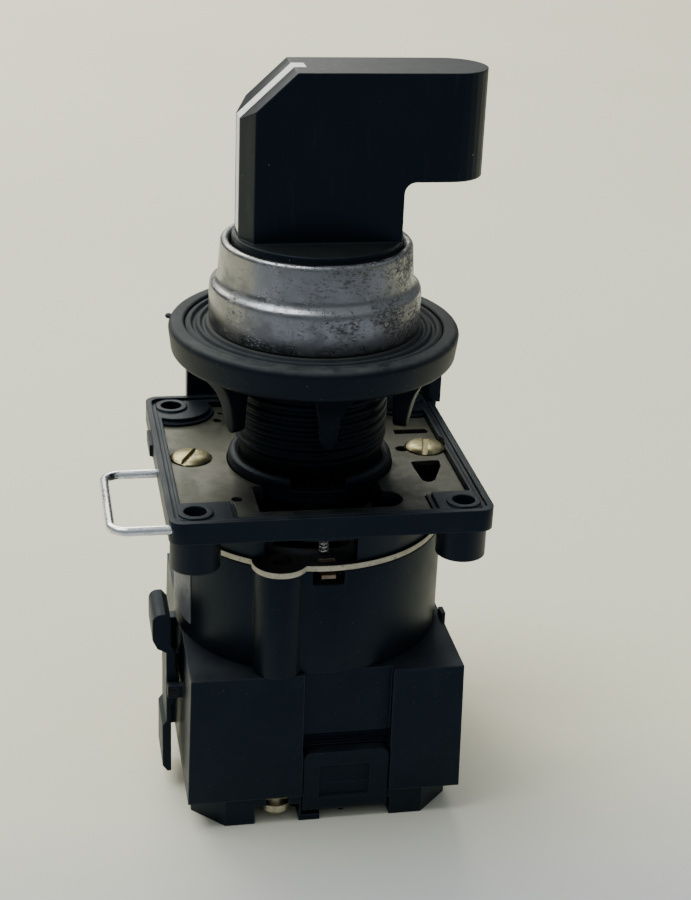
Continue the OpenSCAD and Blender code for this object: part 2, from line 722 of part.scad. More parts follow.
// Bottom cover with chamfered corners, spring posts and terminal pockets
module base_cover() {
    half = block_w / 2 - 0.5;
    xc = BLOCK_AT[0];
    yc = BLOCK_AT[1];
    relief = 0.8;
    color([0.085, 0.085, 0.09]) union() {
        difference() {
            union() {
                translate([0, 0, base_z]) linear_extrude(height = cover_h - 0.05)
                    chamfered_rectangle(-half + xc, -half - 0.4 + yc, half + xc, half + yc, 4.6);
                for (s = [-1, 1]) translate([s * plunger_x, 0, cover_z - 1])
                    cylinder(r = 2.6, h = spring_seat_z - cover_z + 1);
            }
            for (s = [-1, 1]) translate([s * plunger_x, 0, base_z - 1]) cylinder(r = 1.3, h = 20);
            for (t = TERMINALS) terminal_pocket(t);
            box([-3, -22, base_z - 1], [10, -18.2, cover_z + 1]);
            // Relieved middle, so that the cover stands on four feet
            box([-half - 1, -9, base_z - 1], [half + 2, 8, base_z + relief]);
            box([-1.2, -25, base_z - 1], [3, 25, base_z + relief]);
        }
        // Toe under the left end of the front latch
        box([-3.3, -20.1, base_z], [-0.2, -17.6, base_z + 0.95]);
    }
}

// Pocket for a terminal screw, its contact strip and the wire from outside
module terminal_pocket(t) {
    side = sign(t[1]);
    x = t[0] < 0 ? -plunger_x : plunger_x;
    translate([t[0], t[1], base_z - 1]) cylinder(r = 3, h = cover_h + 2);
    side_box(x, 2.2, side, strip_y - 0.2, abs(t[1]), cover_z - 1.1, cover_z + 1);
    side_box(t[0], 3.3, side, abs(t[1]) - 1, 24, base_z - 1, base_z + 3);
}

// Front latch: a frame round a thin recessed web, on a round foot that it swings about
module front_latch() {
    x0 = -2.85;
    x1 = 9.85;
    top = -39.4;
    bar_h = 1.6;
    corner = 1.2;
    foot_r = 0.95;
    foot = base_z + 1.3 + foot_r;
    color([0.1, 0.1, 0.11]) union() {
        translate([0, -18.35, 0]) rotate([90, 0, 0]) linear_extrude(height = 2 * foot_r)
            difference() {
                polygon(concat([[x0, foot], [x1, foot]],
                    arc([x1 - corner, top - corner], corner, 0, 90, 6),
                    arc([x0 + corner, top - corner], corner, 90, 180, 6)));
                translate([x0 + 2.4, foot + bar_h]) square([7.4, 5.6]);
            }
        translate([x0, -18.35 - foot_r, foot]) rotate([0, 90, 0])
            cylinder(r = foot_r, h = x1 - x0, $fn = 48);
        // Web with a step across it
        box([x0 + 2, -19.6, foot + 1.2], [x0 + 10, -18.5, top - 1.6]);
        box([x0 + 2, -19.75, foot + 1.2], [x0 + 10, -19.5, -45]);
    }
}

// Side latch: rocker with an upper hook and a lower finger pad
module side_latch() {
    inner = -21.2;
    hook_x = -23.9;
    pad_x = -22.5;
    width = side_y1 - side_y0;
    color([0.12, 0.12, 0.12]) difference() {
        translate([0, side_y1, 0]) rotate([90, 0, 0]) linear_extrude(height = width) polygon(concat(
            [[-20.5, -30.5], [-20.5, -27.6], [inner, -26.4], [inner, -22.2], [inner - 0.8, -21.2]],
            arc([hook_x + 1.3, -22.5], 1.3, 90, 180, 5),
            [[hook_x, -25.4], [-23.2, -26.9], [-21.9, -27.6], [-21.9, -39.4]],
            [[pad_x, -40.2], [pad_x, -47.2], [pad_x + 0.7, -48.2], [inner, -48.2], [inner, -36.6],
             [-20, -35.2], [-20, -31.8]]));
        translate([side_pin[0], side_y1 + 1, side_pin[1]]) rotate([90, 0, 0])
            cylinder(r = 0.65, h = width + 2, $fn = 32);
    }
}

module side_latch_pin() {
    color([0.7, 0.7, 0.72]) translate([side_pin[0], side_y1 + 1.4, side_pin[1]]) rotate([90, 0, 0])
        cylinder(r = 0.6, h = side_y1 - side_y0 + 2.8, $fn = 32);
}

handle();
indicator_strip();
drive_shaft();
detent_star();
retaining_clip();
drive_cam();
bezel();
operator_body();
bearing_bush();
shaft_seal();
detent_ball();
detent_spring();
panel_gasket();
slip_washer();
ring_nut();
socket_ring();
mounting_frame();
floor_plate();
plate_screws();
wire_bail();
insulating_plate();
earth_spring();
earth_tab();
cam_housing();
side_label();
through_screws();
plunger_a();
plunger_b();
bridge_a();
bridge_b();
return_spring_a();
return_spring_b();
contact_block();
fixed_contacts();
terminal_screws();
base_cover();
front_latch();
side_latch();
side_latch_pin();
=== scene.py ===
import json
import math

import bmesh
import bpy
from mathutils import Matrix, Vector


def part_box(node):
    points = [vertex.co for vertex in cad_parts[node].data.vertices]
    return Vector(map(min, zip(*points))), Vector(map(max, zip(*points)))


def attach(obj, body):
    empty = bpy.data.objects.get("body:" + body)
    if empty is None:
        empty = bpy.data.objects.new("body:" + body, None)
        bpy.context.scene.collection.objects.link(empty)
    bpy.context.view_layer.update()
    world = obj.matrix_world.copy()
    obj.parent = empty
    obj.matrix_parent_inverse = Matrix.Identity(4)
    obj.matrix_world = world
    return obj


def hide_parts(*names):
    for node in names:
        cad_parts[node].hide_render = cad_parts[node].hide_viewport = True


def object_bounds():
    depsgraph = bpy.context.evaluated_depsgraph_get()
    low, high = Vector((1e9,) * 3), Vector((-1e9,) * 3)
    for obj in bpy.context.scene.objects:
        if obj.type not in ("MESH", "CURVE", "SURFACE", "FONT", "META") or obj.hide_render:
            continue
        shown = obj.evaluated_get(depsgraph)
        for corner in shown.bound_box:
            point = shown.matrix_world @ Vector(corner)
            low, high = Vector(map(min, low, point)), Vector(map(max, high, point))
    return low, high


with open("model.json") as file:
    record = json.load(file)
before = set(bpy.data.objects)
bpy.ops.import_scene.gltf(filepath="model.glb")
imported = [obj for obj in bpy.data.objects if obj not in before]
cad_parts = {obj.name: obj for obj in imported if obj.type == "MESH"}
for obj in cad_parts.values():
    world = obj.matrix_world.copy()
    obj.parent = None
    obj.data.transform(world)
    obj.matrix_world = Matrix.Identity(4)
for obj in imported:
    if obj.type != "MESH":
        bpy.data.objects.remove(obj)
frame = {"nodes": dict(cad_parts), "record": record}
cad_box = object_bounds()

MM = 0.001
nodes = frame["nodes"]
BASE, NUT = "base", "nut"


# ---------------------------------------------------------------- camera

VIEW_TURN, VIEW_DOWN, VIEW_ROLL = 11.48, 23.81, 2.54  # degrees
CAMERA_AT = Vector((-39.86, -225.53, 102.24)) * MM


def add_camera():
    """The camera that was fitted to the photo."""
    data = bpy.data.cameras.new("camera")
    data.sensor_fit = "VERTICAL"
    data.sensor_height = 24.0
    data.lens = 45.46
    data.shift_x, data.shift_y = -0.0045, -0.0066
    data.clip_start, data.clip_end = 0.01, 20
    camera = bpy.data.objects.new("camera", data)
    turn = Matrix.Rotation(math.radians(-VIEW_TURN), 4, "Z")
    tilt = Matrix.Rotation(math.radians(90 - VIEW_DOWN), 4, "X")
    roll = Matrix.Rotation(math.radians(VIEW_ROLL), 4, "Z")
    camera.matrix_world = Matrix.Translation(CAMERA_AT) @ turn @ tilt @ roll
    bpy.context.scene.collection.objects.link(camera)
    bpy.context.scene.camera = camera


add_camera()


# ---------------------------------------------------------------- materials


class Paint:
    """One material, built node by node on its Principled shader. Lengths are in millimetres."""

    def __init__(self, name, color, roughness, **sockets):
        self.material = bpy.data.materials.new(name)
        self.material.use_nodes = True
        self.tree = self.material.node_tree
        self.shader = self.tree.nodes["Principled BSDF"]
        self.shader.inputs["Base Color"].default_value = (*color, 1)
        self.shader.inputs["Roughness"].default_value = roughness
        for socket, value in sockets.items():
            self.shader.inputs[socket.replace("_", " ")].default_value = value
        coordinates = self.node("ShaderNodeTexCoord")
        self.where = self.node(
            "ShaderNodeVectorMath", {0: coordinates.outputs["Object"], 1: (1000, 1000, 1000)},
            operation="MULTIPLY",
        ).outputs[0]
        self.normal = self.node("ShaderNodeNewGeometry").outputs["Normal"]

    def node(self, kind, inputs=None, **settings):
        made = self.tree.nodes.new(kind)
        for name, value in settings.items():
            setattr(made, name, value)
        for key, value in (inputs or {}).items():
            if isinstance(value, bpy.types.NodeSocket):
                self.tree.links.new(value, made.inputs[key])
            else:
                made.inputs[key].default_value = value
        return made

    def noise(self, size, detail=3, roughness=0.55, stretch=(1, 1, 1), offset=(0, 0, 0)):
        """Noise from 0 to 1 with features about size mm wide, drawn out by stretch on each axis."""
        where = self.node(
            "ShaderNodeMapping",
            {"Vector": self.where, "Location": offset, "Scale": tuple(1 / s for s in stretch)},
        ).outputs[0]
        return self.node(
            "ShaderNodeTexNoise",
            {"Vector": where, "Scale": 1 / size, "Detail": detail, "Roughness": roughness},
        ).outputs["Fac"]

    def between(self, value, low, high, out_low=0.0, out_high=1.0):
        """Value mapped smoothly from low...high to out_low...out_high."""
        return self.node(
            "ShaderNodeMapRange",
            {
                "Value": value, "From Min": low, "From Max": high,
                "To Min": out_low, "To Max": out_high,
            },
            interpolation_type="SMOOTHSTEP",
        ).outputs["Result"]

    def math(self, operation, a, b=0.0):
        return self.node("ShaderNodeMath", {0: a, 1: b}, operation=operation).outputs[0]

    def radius(self):
        """Distance from the turning axis."""
        return self.length(self.axis(self.where, 0), self.axis(self.where, 1))

    def length(self, x, y):
        """Distance from the origin of the point at x, y."""
        squares = [self.math("MULTIPLY", value, value) for value in (x, y)]
        return self.math("SQRT", self.math("ADD", *squares))

    def axis(self, vector, index):
        return self.node("ShaderNodeSeparateXYZ", {0: vector}).outputs[index]

    def up(self, low=0.55, high=0.95):
        """1 where the surface faces up, 0 on walls."""
        return self.between(self.axis(self.normal, 2), low, high)

    def edges(self, radius, low=0.02, high=0.25):
        """1 along the edges that stick out or in, 0 on flat ground."""
        rounded = self.node("ShaderNodeBevel", {"Radius": radius * MM}, samples=4).outputs[0]
        bend = self.node(
            "ShaderNodeVectorMath", {0: rounded, 1: self.normal}, operation="DOT_PRODUCT"
        ).outputs["Value"]
        return self.between(self.math("SUBTRACT", 1.0, bend), low, high)

    def tint(self, share, color):
        """Mixes color over what the base colour is so far, where share is 1."""
        self.blend("Base Color", share, (*color, 1))

    def blend(self, socket, share, value):
        """Mixes value over what the socket has so far, where share is 1."""
        target = self.shader.inputs[socket]
        is_color = socket == "Base Color"
        mix = self.node("ShaderNodeMix", data_type="RGBA" if is_color else "FLOAT")
        factor, first, second = (0, 6, 7) if is_color else (0, 2, 3)
        out = mix.outputs[2] if is_color else mix.outputs[0]
        self.tree.links.new(share, mix.inputs[factor])
        if target.is_linked:
            self.tree.links.new(target.links[0].from_socket, mix.inputs[first])
        else:
            mix.inputs[first].default_value = target.default_value
        mix.inputs[second].default_value = value
        self.tree.links.new(out, target)

    def bump(self, height, depth, strength, round_edges=0.0):
        """Raises the surface by depth mm where height is 1; round_edges is in mm."""
        target = self.shader.inputs["Normal"]
        inputs = {"Height": height, "Distance": depth * MM, "Strength": strength}
        if target.is_linked:
            inputs["Normal"] = target.links[0].from_socket
        elif round_edges:
            inputs["Normal"] = self.node(
                "ShaderNodeBevel", {"Radius": round_edges * MM}, samples=6
            ).outputs[0]
        self.tree.links.new(self.node("ShaderNodeBump", inputs).outputs[0], target)


# A weak, cool sheen, as on matt black mouldings
DARK_SHEEN = {"Specular_IOR_Level": 0.2, "Specular_Tint": (0.5, 0.75, 1.0, 1.0)}


def moulded(name, color, roughness, dust=0.35, grain=0.02, edge=0.22, scuffs=0.5):
    """Moulded plastic: fine grain, cloudy sheen, edges paler from wear and a painted highlight,
    dust on what faces up.
    """
    paint = Paint(name, color, roughness, **DARK_SHEEN)
    cloud = paint.noise(7, detail=4)
    speckle = paint.noise(0.35, detail=3, offset=(5, 1, 9))
    scratch = paint.noise(1.6, detail=5, roughness=0.7, stretch=(5, 1, 1.3), offset=(2, 7, 4))
    lighter = tuple(min(1, c * 1.8 + 0.002) for c in color)
    dusty = (0.12, 0.12, 0.105)
    paint.tint(paint.between(cloud, 0.35, 0.75, 0, 0.55), lighter)
    rub = paint.math("MULTIPLY", paint.between(scratch, 0.58, 0.74), scuffs)
    paint.tint(paint.math("MULTIPLY", rub, 0.30), tuple(min(1, c * 3 + 0.012) for c in color))
    # Paler edges: partly wear, partly a painted highlight along the rounded edges
    worn = paint.math("MULTIPLY", paint.edges(0.35), edge)
    paint.tint(worn, tuple(min(1, c * 4 + 0.04) for c in color))
    film = paint.math("MULTIPLY", paint.up(), paint.between(cloud, 0.3, 0.7, 0.3, 1.0))
    film = paint.math("MULTIPLY", film, dust)
    paint.tint(paint.math("MULTIPLY", film, 0.2), dusty)
    specks = paint.between(paint.noise(0.22, detail=2, offset=(8, 3, 3)), 0.73, 0.78)
    paint.tint(paint.math("MULTIPLY", specks, dust), (0.4, 0.39, 0.36))
    paint.blend("Roughness", paint.between(cloud, 0.3, 0.7, 0, 0.5), min(1, roughness + 0.16))
    paint.blend("Roughness", film, 0.8)
    paint.blend("Roughness", paint.math("MULTIPLY", rub, 0.5), max(0.1, roughness - 0.15))
    paint.bump(speckle, grain, 0.6, round_edges=0.3)
    paint.bump(paint.noise(2.5, detail=2, offset=(1, 1, 1)), grain * 2, 0.35)
    return paint.material


def metal(name, color, roughness, tarnish, brushed=(1, 1, 1), spots=0.4):
    """Bare metal: fine brushing, cloudy tarnish, dark specks, edges brightened by wear and a
    painted highlight.
    """
    paint = Paint(name, color, roughness, Metallic=1.0)
    cloud = paint.noise(1.8, detail=5, roughness=0.65)
    lines = paint.noise(0.5, detail=3, stretch=brushed, offset=(3, 3, 3))
    paint.tint(paint.between(cloud, 0.42, 0.72, 0, 0.75), tarnish)
    dark = paint.between(paint.noise(0.4, detail=4, roughness=0.7, offset=(4, 4, 4)), 0.6, 0.72)
    paint.tint(paint.math("MULTIPLY", dark, spots), tuple(c * 0.3 for c in tarnish))
    # Brighter edges: partly wear, partly a painted highlight
    paint.tint(paint.math("MULTIPLY", paint.edges(0.2), 0.3), tuple(min(1, c * 1.3) for c in color))
    paint.blend("Roughness", paint.between(cloud, 0.4, 0.7, 0, 0.8), min(1, roughness + 0.25))
    paint.blend("Roughness", paint.between(lines, 0.4, 0.7, 0, 0.4), max(0.08, roughness - 0.1))
    paint.bump(lines, 0.012, 0.6, round_edges=0.12)
    return paint.material


# Top of the handle's round foot, just inside the bezel, in mm
FOOT_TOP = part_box("bezel")[1][2] / MM - 0.6


def handle_plastic():
    """The blackest plastic, wiped bright in places and dusty at its foot."""
    paint = Paint("handle_plastic", (0.002, 0.003, 0.0045), 0.42, **DARK_SHEEN)
    cloud = paint.noise(9, detail=4)
    grain = paint.noise(0.3, detail=3, offset=(2, 5, 1))
    worn = paint.math("MULTIPLY", paint.edges(0.5), 0.3)
    paint.tint(paint.between(cloud, 0.35, 0.75, 0, 0.5), (0.005, 0.006, 0.008))
    wipes = paint.noise(1.2, detail=5, roughness=0.7, stretch=(1, 1, 7), offset=(6, 2, 8))
    paint.tint(paint.between(wipes, 0.56, 0.74, 0, 0.1), (0.05, 0.05, 0.05))
    # Paler edges: partly wear, partly a painted highlight
    paint.tint(worn, (0.05, 0.05, 0.05))
    # Warm pale tint on faces that look up: a dust film and a painted sheen, the warm reflection of
    # the window
    film = paint.math("MULTIPLY", paint.up(0.5, 0.98), paint.between(cloud, 0.3, 0.7, 0.55, 1))
    paint.tint(paint.math("MULTIPLY", film, 0.08), (0.1, 0.095, 0.06))
    # Dust lies on the round foot and in the corner where the stem meets it
    foot = paint.between(paint.axis(paint.where, 2), FOOT_TOP + 0.9, FOOT_TOP + 0.3)
    paint.tint(paint.math("MULTIPLY", foot, 0.25), (0.05, 0.055, 0.06))
    corner = paint.math("MULTIPLY", foot, paint.edges(0.9, 0.03, 0.3))
    paint.tint(paint.math("MULTIPLY", corner, 0.7), (0.2, 0.2, 0.19))
    lint = paint.between(paint.noise(0.34, detail=1, offset=(12, 4, 7)), 0.81, 0.825)
    paint.tint(lint, (0.72, 0.7, 0.66))
    paint.blend("Roughness", paint.between(cloud, 0.35, 0.7, 0, 0.55), 0.52)
    paint.blend("Roughness", paint.between(wipes, 0.5, 0.75, 0, 0.5), 0.3)
    paint.bump(grain, 0.012, 0.5, round_edges=0.35)
    return paint.material


def indicator_white():
    """Yellowed white plastic with grimy specks."""
    paint = Paint("indicator_white", (0.8, 0.79, 0.75), 0.5)
    paint.tint(paint.between(paint.noise(1.5, detail=5), 0.45, 0.75, 0, 0.5), (0.55, 0.53, 0.47))
    paint.tint(paint.between(paint.noise(0.25, detail=2), 0.62, 0.72, 0, 0.6), (0.3, 0.29, 0.27))
    paint.blend("Roughness", paint.between(paint.noise(2.0), 0.4, 0.7), 0.65)
    paint.bump(paint.noise(0.3), 0.01, 0.5, round_edges=0.12)
    return paint.material


def bezel_metal():
    """Satin cast metal with turning marks, pitted and stained most on its right side."""
    paint = Paint("bezel_metal", (0.235, 0.238, 0.24), 0.26, Metallic=1.0)
    side = paint.between(paint.axis(paint.where, 0), -9, 14, 0.0, 0.09)
    patches = paint.between(paint.noise(6, detail=2, offset=(4, 8, 1)), 0.3, 0.7, -0.06, 0.06)
    pits = paint.noise(0.4, detail=8, roughness=0.85, stretch=(1.7, 1.7, 0.8), offset=(1, 9, 3))
    pits = paint.math("ADD", paint.math("ADD", pits, side), patches)
    pits = paint.between(pits, 0.575, 0.655)
    fine = paint.between(paint.noise(0.3, detail=4, roughness=0.7, offset=(7, 7, 7)), 0.62, 0.7)
    stain = paint.noise(3.5, detail=6, roughness=0.6, offset=(0, 4, 2))
    turned = paint.noise(0.22, detail=2, stretch=(60, 60, 1))
    paint.tint(paint.between(stain, 0.45, 0.7, 0, 0.5), (0.175, 0.178, 0.18))
    paint.tint(paint.math("MULTIPLY", fine, 0.4), (0.08, 0.08, 0.083))
    paint.tint(paint.math("MULTIPLY", pits, 0.8), (0.045, 0.044, 0.043))
    # Painted highlight: the rims and edges are tinted bright
    paint.tint(paint.math("MULTIPLY", paint.edges(0.3), 0.7), (0.72, 0.73, 0.74))
    paint.blend("Metallic", paint.math("MULTIPLY", pits, 0.7), 0.2)
    paint.blend("Roughness", paint.between(stain, 0.4, 0.7), 0.5)
    paint.blend("Roughness", pits, 0.75)
    paint.bump(turned, 0.006, 0.5, round_edges=0.22)
    paint.bump(paint.noise(0.14, detail=2), 0.008, 0.5)
    paint.bump(paint.math("SUBTRACT", 1.0, pits), 0.05, 0.7)
    return paint.material


def dusty_rubber(name, color, dust_color, dust, roughness=0.62, worn_radius=0.0):
    """Black rubber or soft plastic with dust that gathers in corners, and dust with painted light
    on top.
    """
    sheen = {"Specular_IOR_Level": 0.2, "Specular_Tint": (0.6, 0.8, 1.0, 1.0)}
    paint = Paint(name, color, roughness, **sheen)
    cloud = paint.noise(3.2, detail=6, roughness=0.65)
    rings = paint.noise(0.6, detail=3, stretch=(9, 9, 1), offset=(3, 1, 2))
    corners = paint.edges(0.9, 0.03, 0.4)
    film = paint.math("MULTIPLY", paint.up(0.3, 0.95), paint.between(cloud, 0.32, 0.68, 0.25, 1.0))
    paint.tint(paint.between(cloud, 0.4, 0.75, 0, 0.5), tuple(c * 1.8 for c in color))
    paint.tint(paint.math("MULTIPLY", corners, dust * 0.35), dust_color)
    # Paler faces that look up: dust, and painted light on the tops
    paint.tint(paint.math("MULTIPLY", film, dust), dust_color)
    ringed = paint.math("MULTIPLY", paint.up(), paint.between(rings, 0.58, 0.75, 0, 0.22))
    paint.tint(ringed, dust_color)
    # A paler worn ring just outside worn_radius, where the bezel stands
    worn = paint.between(paint.radius(), worn_radius + 0.9, worn_radius + 0.3, 0, 0.4)
    paint.tint(paint.math("MULTIPLY", paint.up(), worn), (0.075, 0.075, 0.058))
    specks = paint.between(paint.noise(0.25, detail=2, offset=(1, 2, 3)), 0.72, 0.78)
    paint.tint(paint.math("MULTIPLY", specks, 0.5), (0.4, 0.38, 0.33))
    paint.blend("Roughness", film, 0.85)
    paint.bump(paint.noise(0.3, detail=4), 0.03, 0.6, round_edges=0.3)
    paint.bump(cloud, 0.05, 0.4)
    return paint.material


def coated_sheet():
    """Olive-grey passivated steel sheet with stains and a painted shadow in front of the neck."""
    paint = Paint("floor_metal", (0.034, 0.036, 0.024), 0.42, Metallic=0.5)
    cloud = paint.noise(2.6, detail=6, roughness=0.65)
    paint.tint(paint.between(cloud, 0.4, 0.7, 0, 0.7), (0.056, 0.058, 0.04))
    paint.tint(paint.between(paint.noise(0.5, detail=4, offset=(2, 2, 2)), 0.6, 0.75, 0, 0.6),
               (0.008, 0.008, 0.006))
    # Lighter edges: partly edge wear, partly a painted highlight
    paint.tint(paint.math("MULTIPLY", paint.edges(0.2), 0.3), (0.1, 0.1, 0.08))
    # Painted shadow: dark bluish tint in front of the neck
    x, y = (paint.axis(paint.where, i) for i in (0, 1))
    painted_neck_shadow = paint.math("MULTIPLY", paint.between(y, -3, -11), paint.between(x, -16, -9))
    painted_neck_shadow = paint.math("MULTIPLY", painted_neck_shadow, paint.between(x, 16, 9))
    paint.tint(paint.math("MULTIPLY", painted_neck_shadow, 0.75), (0.004, 0.007, 0.009))
    paint.blend("Roughness", paint.between(cloud, 0.4, 0.7), 0.62)
    paint.bump(paint.noise(0.35, detail=4), 0.02, 0.6, round_edges=0.12)
    return paint.material


# Centre of the rear screw lobe's bore, in mm; the front one is opposite
LOBE_AT = (6.7, 17.4)


def painted_bore_shade(paint):
    """1 round the bore of each screw lobe, where shade is painted, 0 elsewhere."""
    share = 0.0
    for side in (-1, 1):
        x, y = (
            paint.math("SUBTRACT", paint.axis(paint.where, i), side * centre)
            for i, centre in enumerate(LOBE_AT)
        )
        share = paint.math("MAXIMUM", share, paint.between(paint.length(x, y), 2.6, 2.3))
    return share


def fibre_sheet():
    """Cream fibre board that shows at its cut edge, with its top tinted near-black."""
    paint = Paint("insulating_sheet", (0.6, 0.55, 0.38), 0.6)
    paint.tint(paint.between(paint.noise(1.2, detail=5), 0.42, 0.7, 0, 0.6), (0.42, 0.36, 0.22))
    paint.tint(paint.between(paint.noise(0.5, detail=4, offset=(9, 1, 1)), 0.58, 0.7, 0, 0.7),
               (0.16, 0.13, 0.08))
    # Faces that look up are tinted near-black
    paint.tint(paint.up(0.6, 0.8), (0.006, 0.007, 0.008))
    # Only the outer edge is cream: painted shade darkens the inside of the bores
    paint.tint(painted_bore_shade(paint), (0.02, 0.018, 0.014))
    paint.blend("Roughness", paint.between(paint.noise(0.8), 0.4, 0.7), 0.8)
    paint.bump(paint.noise(0.2, detail=3, stretch=(6, 1, 1)), 0.02, 0.6)
    return paint.material


def label_paper():
    """Plain worn sticker without any marking."""
    paint = Paint("label_paper", (0.12, 0.125, 0.13), 0.5)
    paint.tint(paint.between(paint.noise(1.6, detail=5), 0.42, 0.7, 0, 0.7), (0.07, 0.073, 0.075))
    paint.tint(paint.between(paint.noise(0.4, detail=4, stretch=(1, 1, 4)), 0.58, 0.7, 0, 0.7),
               (0.025, 0.026, 0.028))
    paint.blend("Roughness", paint.between(paint.noise(0.9), 0.4, 0.7), 0.7)
    paint.bump(paint.noise(0.3, detail=3), 0.012, 0.5)
    return paint.material


def backdrop_paper():
    """Matt paper, warm towards the back, with painted cool shade that darkens it in front of the
    object.
    """
    paint = Paint("backdrop_paper", (0.74, 0.715, 0.53), 0.7)
    paint.tint(paint.between(paint.noise(160, detail=2), 0.35, 0.7, 0, 0.6), (0.7, 0.675, 0.49))
    # Painted shade: the paper turns darker and bluer towards the front
    front = paint.between(paint.axis(paint.where, 1), 10, -80, 0, 0.9)
    paint.tint(front, (0.36, 0.385, 0.47))
    paint.tint(paint.between(paint.noise(1.2, detail=4), 0.4, 0.75, 0, 0.15), (0.6, 0.59, 0.54))
    paint.bump(paint.noise(0.8, detail=4), 0.04, 0.4)
    return paint.material


MATERIALS = {
    "handle_plastic": handle_plastic(),
    "indicator_white": indicator_white(),
    "bezel_metal": bezel_metal(),
    "neck_plastic": moulded(
        "neck_plastic", (0.0012, 0.0014, 0.002), 0.5, dust=0.05, grain=0.008, edge=0.05, scuffs=0.15
    ),
    "gasket_rubber": dusty_rubber(
        "gasket_rubber", (0.009, 0.011, 0.013), (0.08, 0.08, 0.07), 0.4, worn_radius=15.2
    ),
    # Its large dust share also paints the light on its top faces
    "nut_plastic": dusty_rubber(
        "nut_plastic", (0.002, 0.0032, 0.005), (0.075, 0.077, 0.068), 0.6, 0.5
    ),
    "socket_plastic": moulded("socket_plastic", (0.0026, 0.0036, 0.005), 0.42, dust=0.4),
    "frame_plastic": moulded("frame_plastic", (0.003, 0.0042, 0.0062), 0.4, dust=0.2, edge=0.35),
    "housing_plastic": moulded("housing_plastic", (0.0032, 0.0044, 0.0064), 0.4, edge=0.3),
    "block_plastic": moulded("block_plastic", (0.0036, 0.0052, 0.0082), 0.38, edge=0.5),
    "latch_plastic": moulded("latch_plastic", (0.0036, 0.0052, 0.008), 0.42, edge=0.4),
    "floor_metal": coated_sheet(),
    "screw_brass": metal("screw_brass", (0.3, 0.27, 0.15), 0.4, (0.09, 0.085, 0.045)),
    "bail_steel": metal("bail_steel", (0.74, 0.75, 0.75), 0.24, (0.5, 0.5, 0.49), (1, 12, 12), 0.2),
    "spring_steel": metal("spring_steel", (0.62, 0.6, 0.55), 0.28, (0.4, 0.37, 0.3)),
    "shaft_steel": metal("shaft_steel", (0.58, 0.58, 0.59), 0.3, (0.4, 0.4, 0.4), (20, 20, 1)),
    "screw_steel": metal("screw_steel", (0.58, 0.58, 0.6), 0.32, (0.38, 0.37, 0.35)),
    "terminal_metal": metal("terminal_metal", (0.55, 0.5, 0.38), 0.35, (0.3, 0.26, 0.18)),
    "bush_bronze": metal("bush_bronze", (0.5, 0.36, 0.2), 0.42, (0.3, 0.2, 0.11)),
    "copper": metal("copper", (0.27, 0.2, 0.14), 0.4, (0.14, 0.09, 0.055)),
    "insulating_sheet": fibre_sheet(),
    "label_paper": label_paper(),
    "seal_rubber": dusty_rubber("seal_rubber", (0.02, 0.02, 0.02), (0.1, 0.1, 0.09), 0.2),
    "acetal": moulded("acetal", (0.72, 0.68, 0.55), 0.42, dust=0.1, edge=0.1),
    "washer_plastic": moulded("washer_plastic", (0.6, 0.58, 0.5), 0.45, dust=0.2, edge=0.1),
}


# ---------------------------------------------------------------- finish of the CAD nodes

SLOT_OF = {part["node"]: part["material_slot"] for part in frame["record"]["subparts"]}
# Vertices closer than this, in mm, are one
WELD = 0.002
# In degrees: what bends less is one flat face, what bends more is an edge to round
FLAT_BELOW, EDGE_ABOVE = 0.6, 38
# How far in from an edge its rounding reaches, in mm
EDGE_WIDTH = {
    "handle": 0.4,
    "contact_block": 0.7,
    "base_cover": 0.2,
    "front_latch": 0.2,
    "side_latch": 0.2,
    "cam_housing": 0.2,
    "mounting_frame": 0.15,
    "plate_screws": 0.1,
    "floor_plate": 0.06,
    "insulating_plate": 0.06,
}


def finish_nodes():
    """Gives each CAD node its material, and some of them rounded edges."""
    for name, piece in nodes.items():
        piece.data.materials.clear()
        piece.data.materials.append(MATERIALS[SLOT_OF[name]])
        if name in EDGE_WIDTH:
            weld = piece.modifiers.new("weld", "WELD")
            weld.merge_threshold = WELD * MM
            flat = piece.modifiers.new("flat", "DECIMATE")
            flat.decimate_type = "DISSOLVE"
            flat.angle_limit = math.radians(FLAT_BELOW)
            bevel = piece.modifiers.new("edges", "BEVEL")
            bevel.width = EDGE_WIDTH[name] * MM
            bevel.segments = 3
            bevel.limit_method = "ANGLE"
            bevel.angle_limit = math.radians(EDGE_ABOVE)
            bevel.harden_normals = False


finish_nodes()
# The pin is of blackened steel, duller than the bail that it shares a slot with
dark_pin = metal("dark_pin", (0.03, 0.03, 0.032), 0.5, (0.015, 0.015, 0.015))
nodes["side_latch_pin"].data.materials[0] = dark_pin


# ---------------------------------------------------------------- pieces with a finer shape


def rounded_outline(points, radius, steps=4):
    """The closed outline with each corner rounded off, by at most radius and 45% of a side."""
    out = []
    for i, corner in enumerate(points):
        here = Vector(corner)
        before, after = Vector(points[i - 1]), Vector(points[(i + 1) % len(points)])
        reach = min(radius, (before - here).length * 0.45, (after - here).length * 0.45)
        start = here + (before - here).normalized() * reach
        end = here + (after - here).normalized() * reach
        for k in range(steps + 1):
            t = k / steps
            out.append(start * (1 - t) ** 2 + here * 2 * t * (1 - t) + end * t * t)
    return out


def add_piece(name, mesh, body, slot, replaced, sharp):
    """Turns a mesh in mm into a piece; edges that bend by more than sharp degrees stay crisp."""
    bmesh.ops.recalc_face_normals(mesh, faces=mesh.faces)
    data = bpy.data.meshes.new(name)
    mesh.to_mesh(data)
    mesh.free()
    data.transform(Matrix.Scale(MM, 4))
    data.materials.append(MATERIALS[slot])
    data.shade_smooth()
    data.set_sharp_from_angle(angle=math.radians(sharp))
    piece = bpy.data.objects.new(name, data)
    bpy.context.scene.collection.objects.link(piece)
    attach(piece, body)
    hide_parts(*replaced)
    return piece


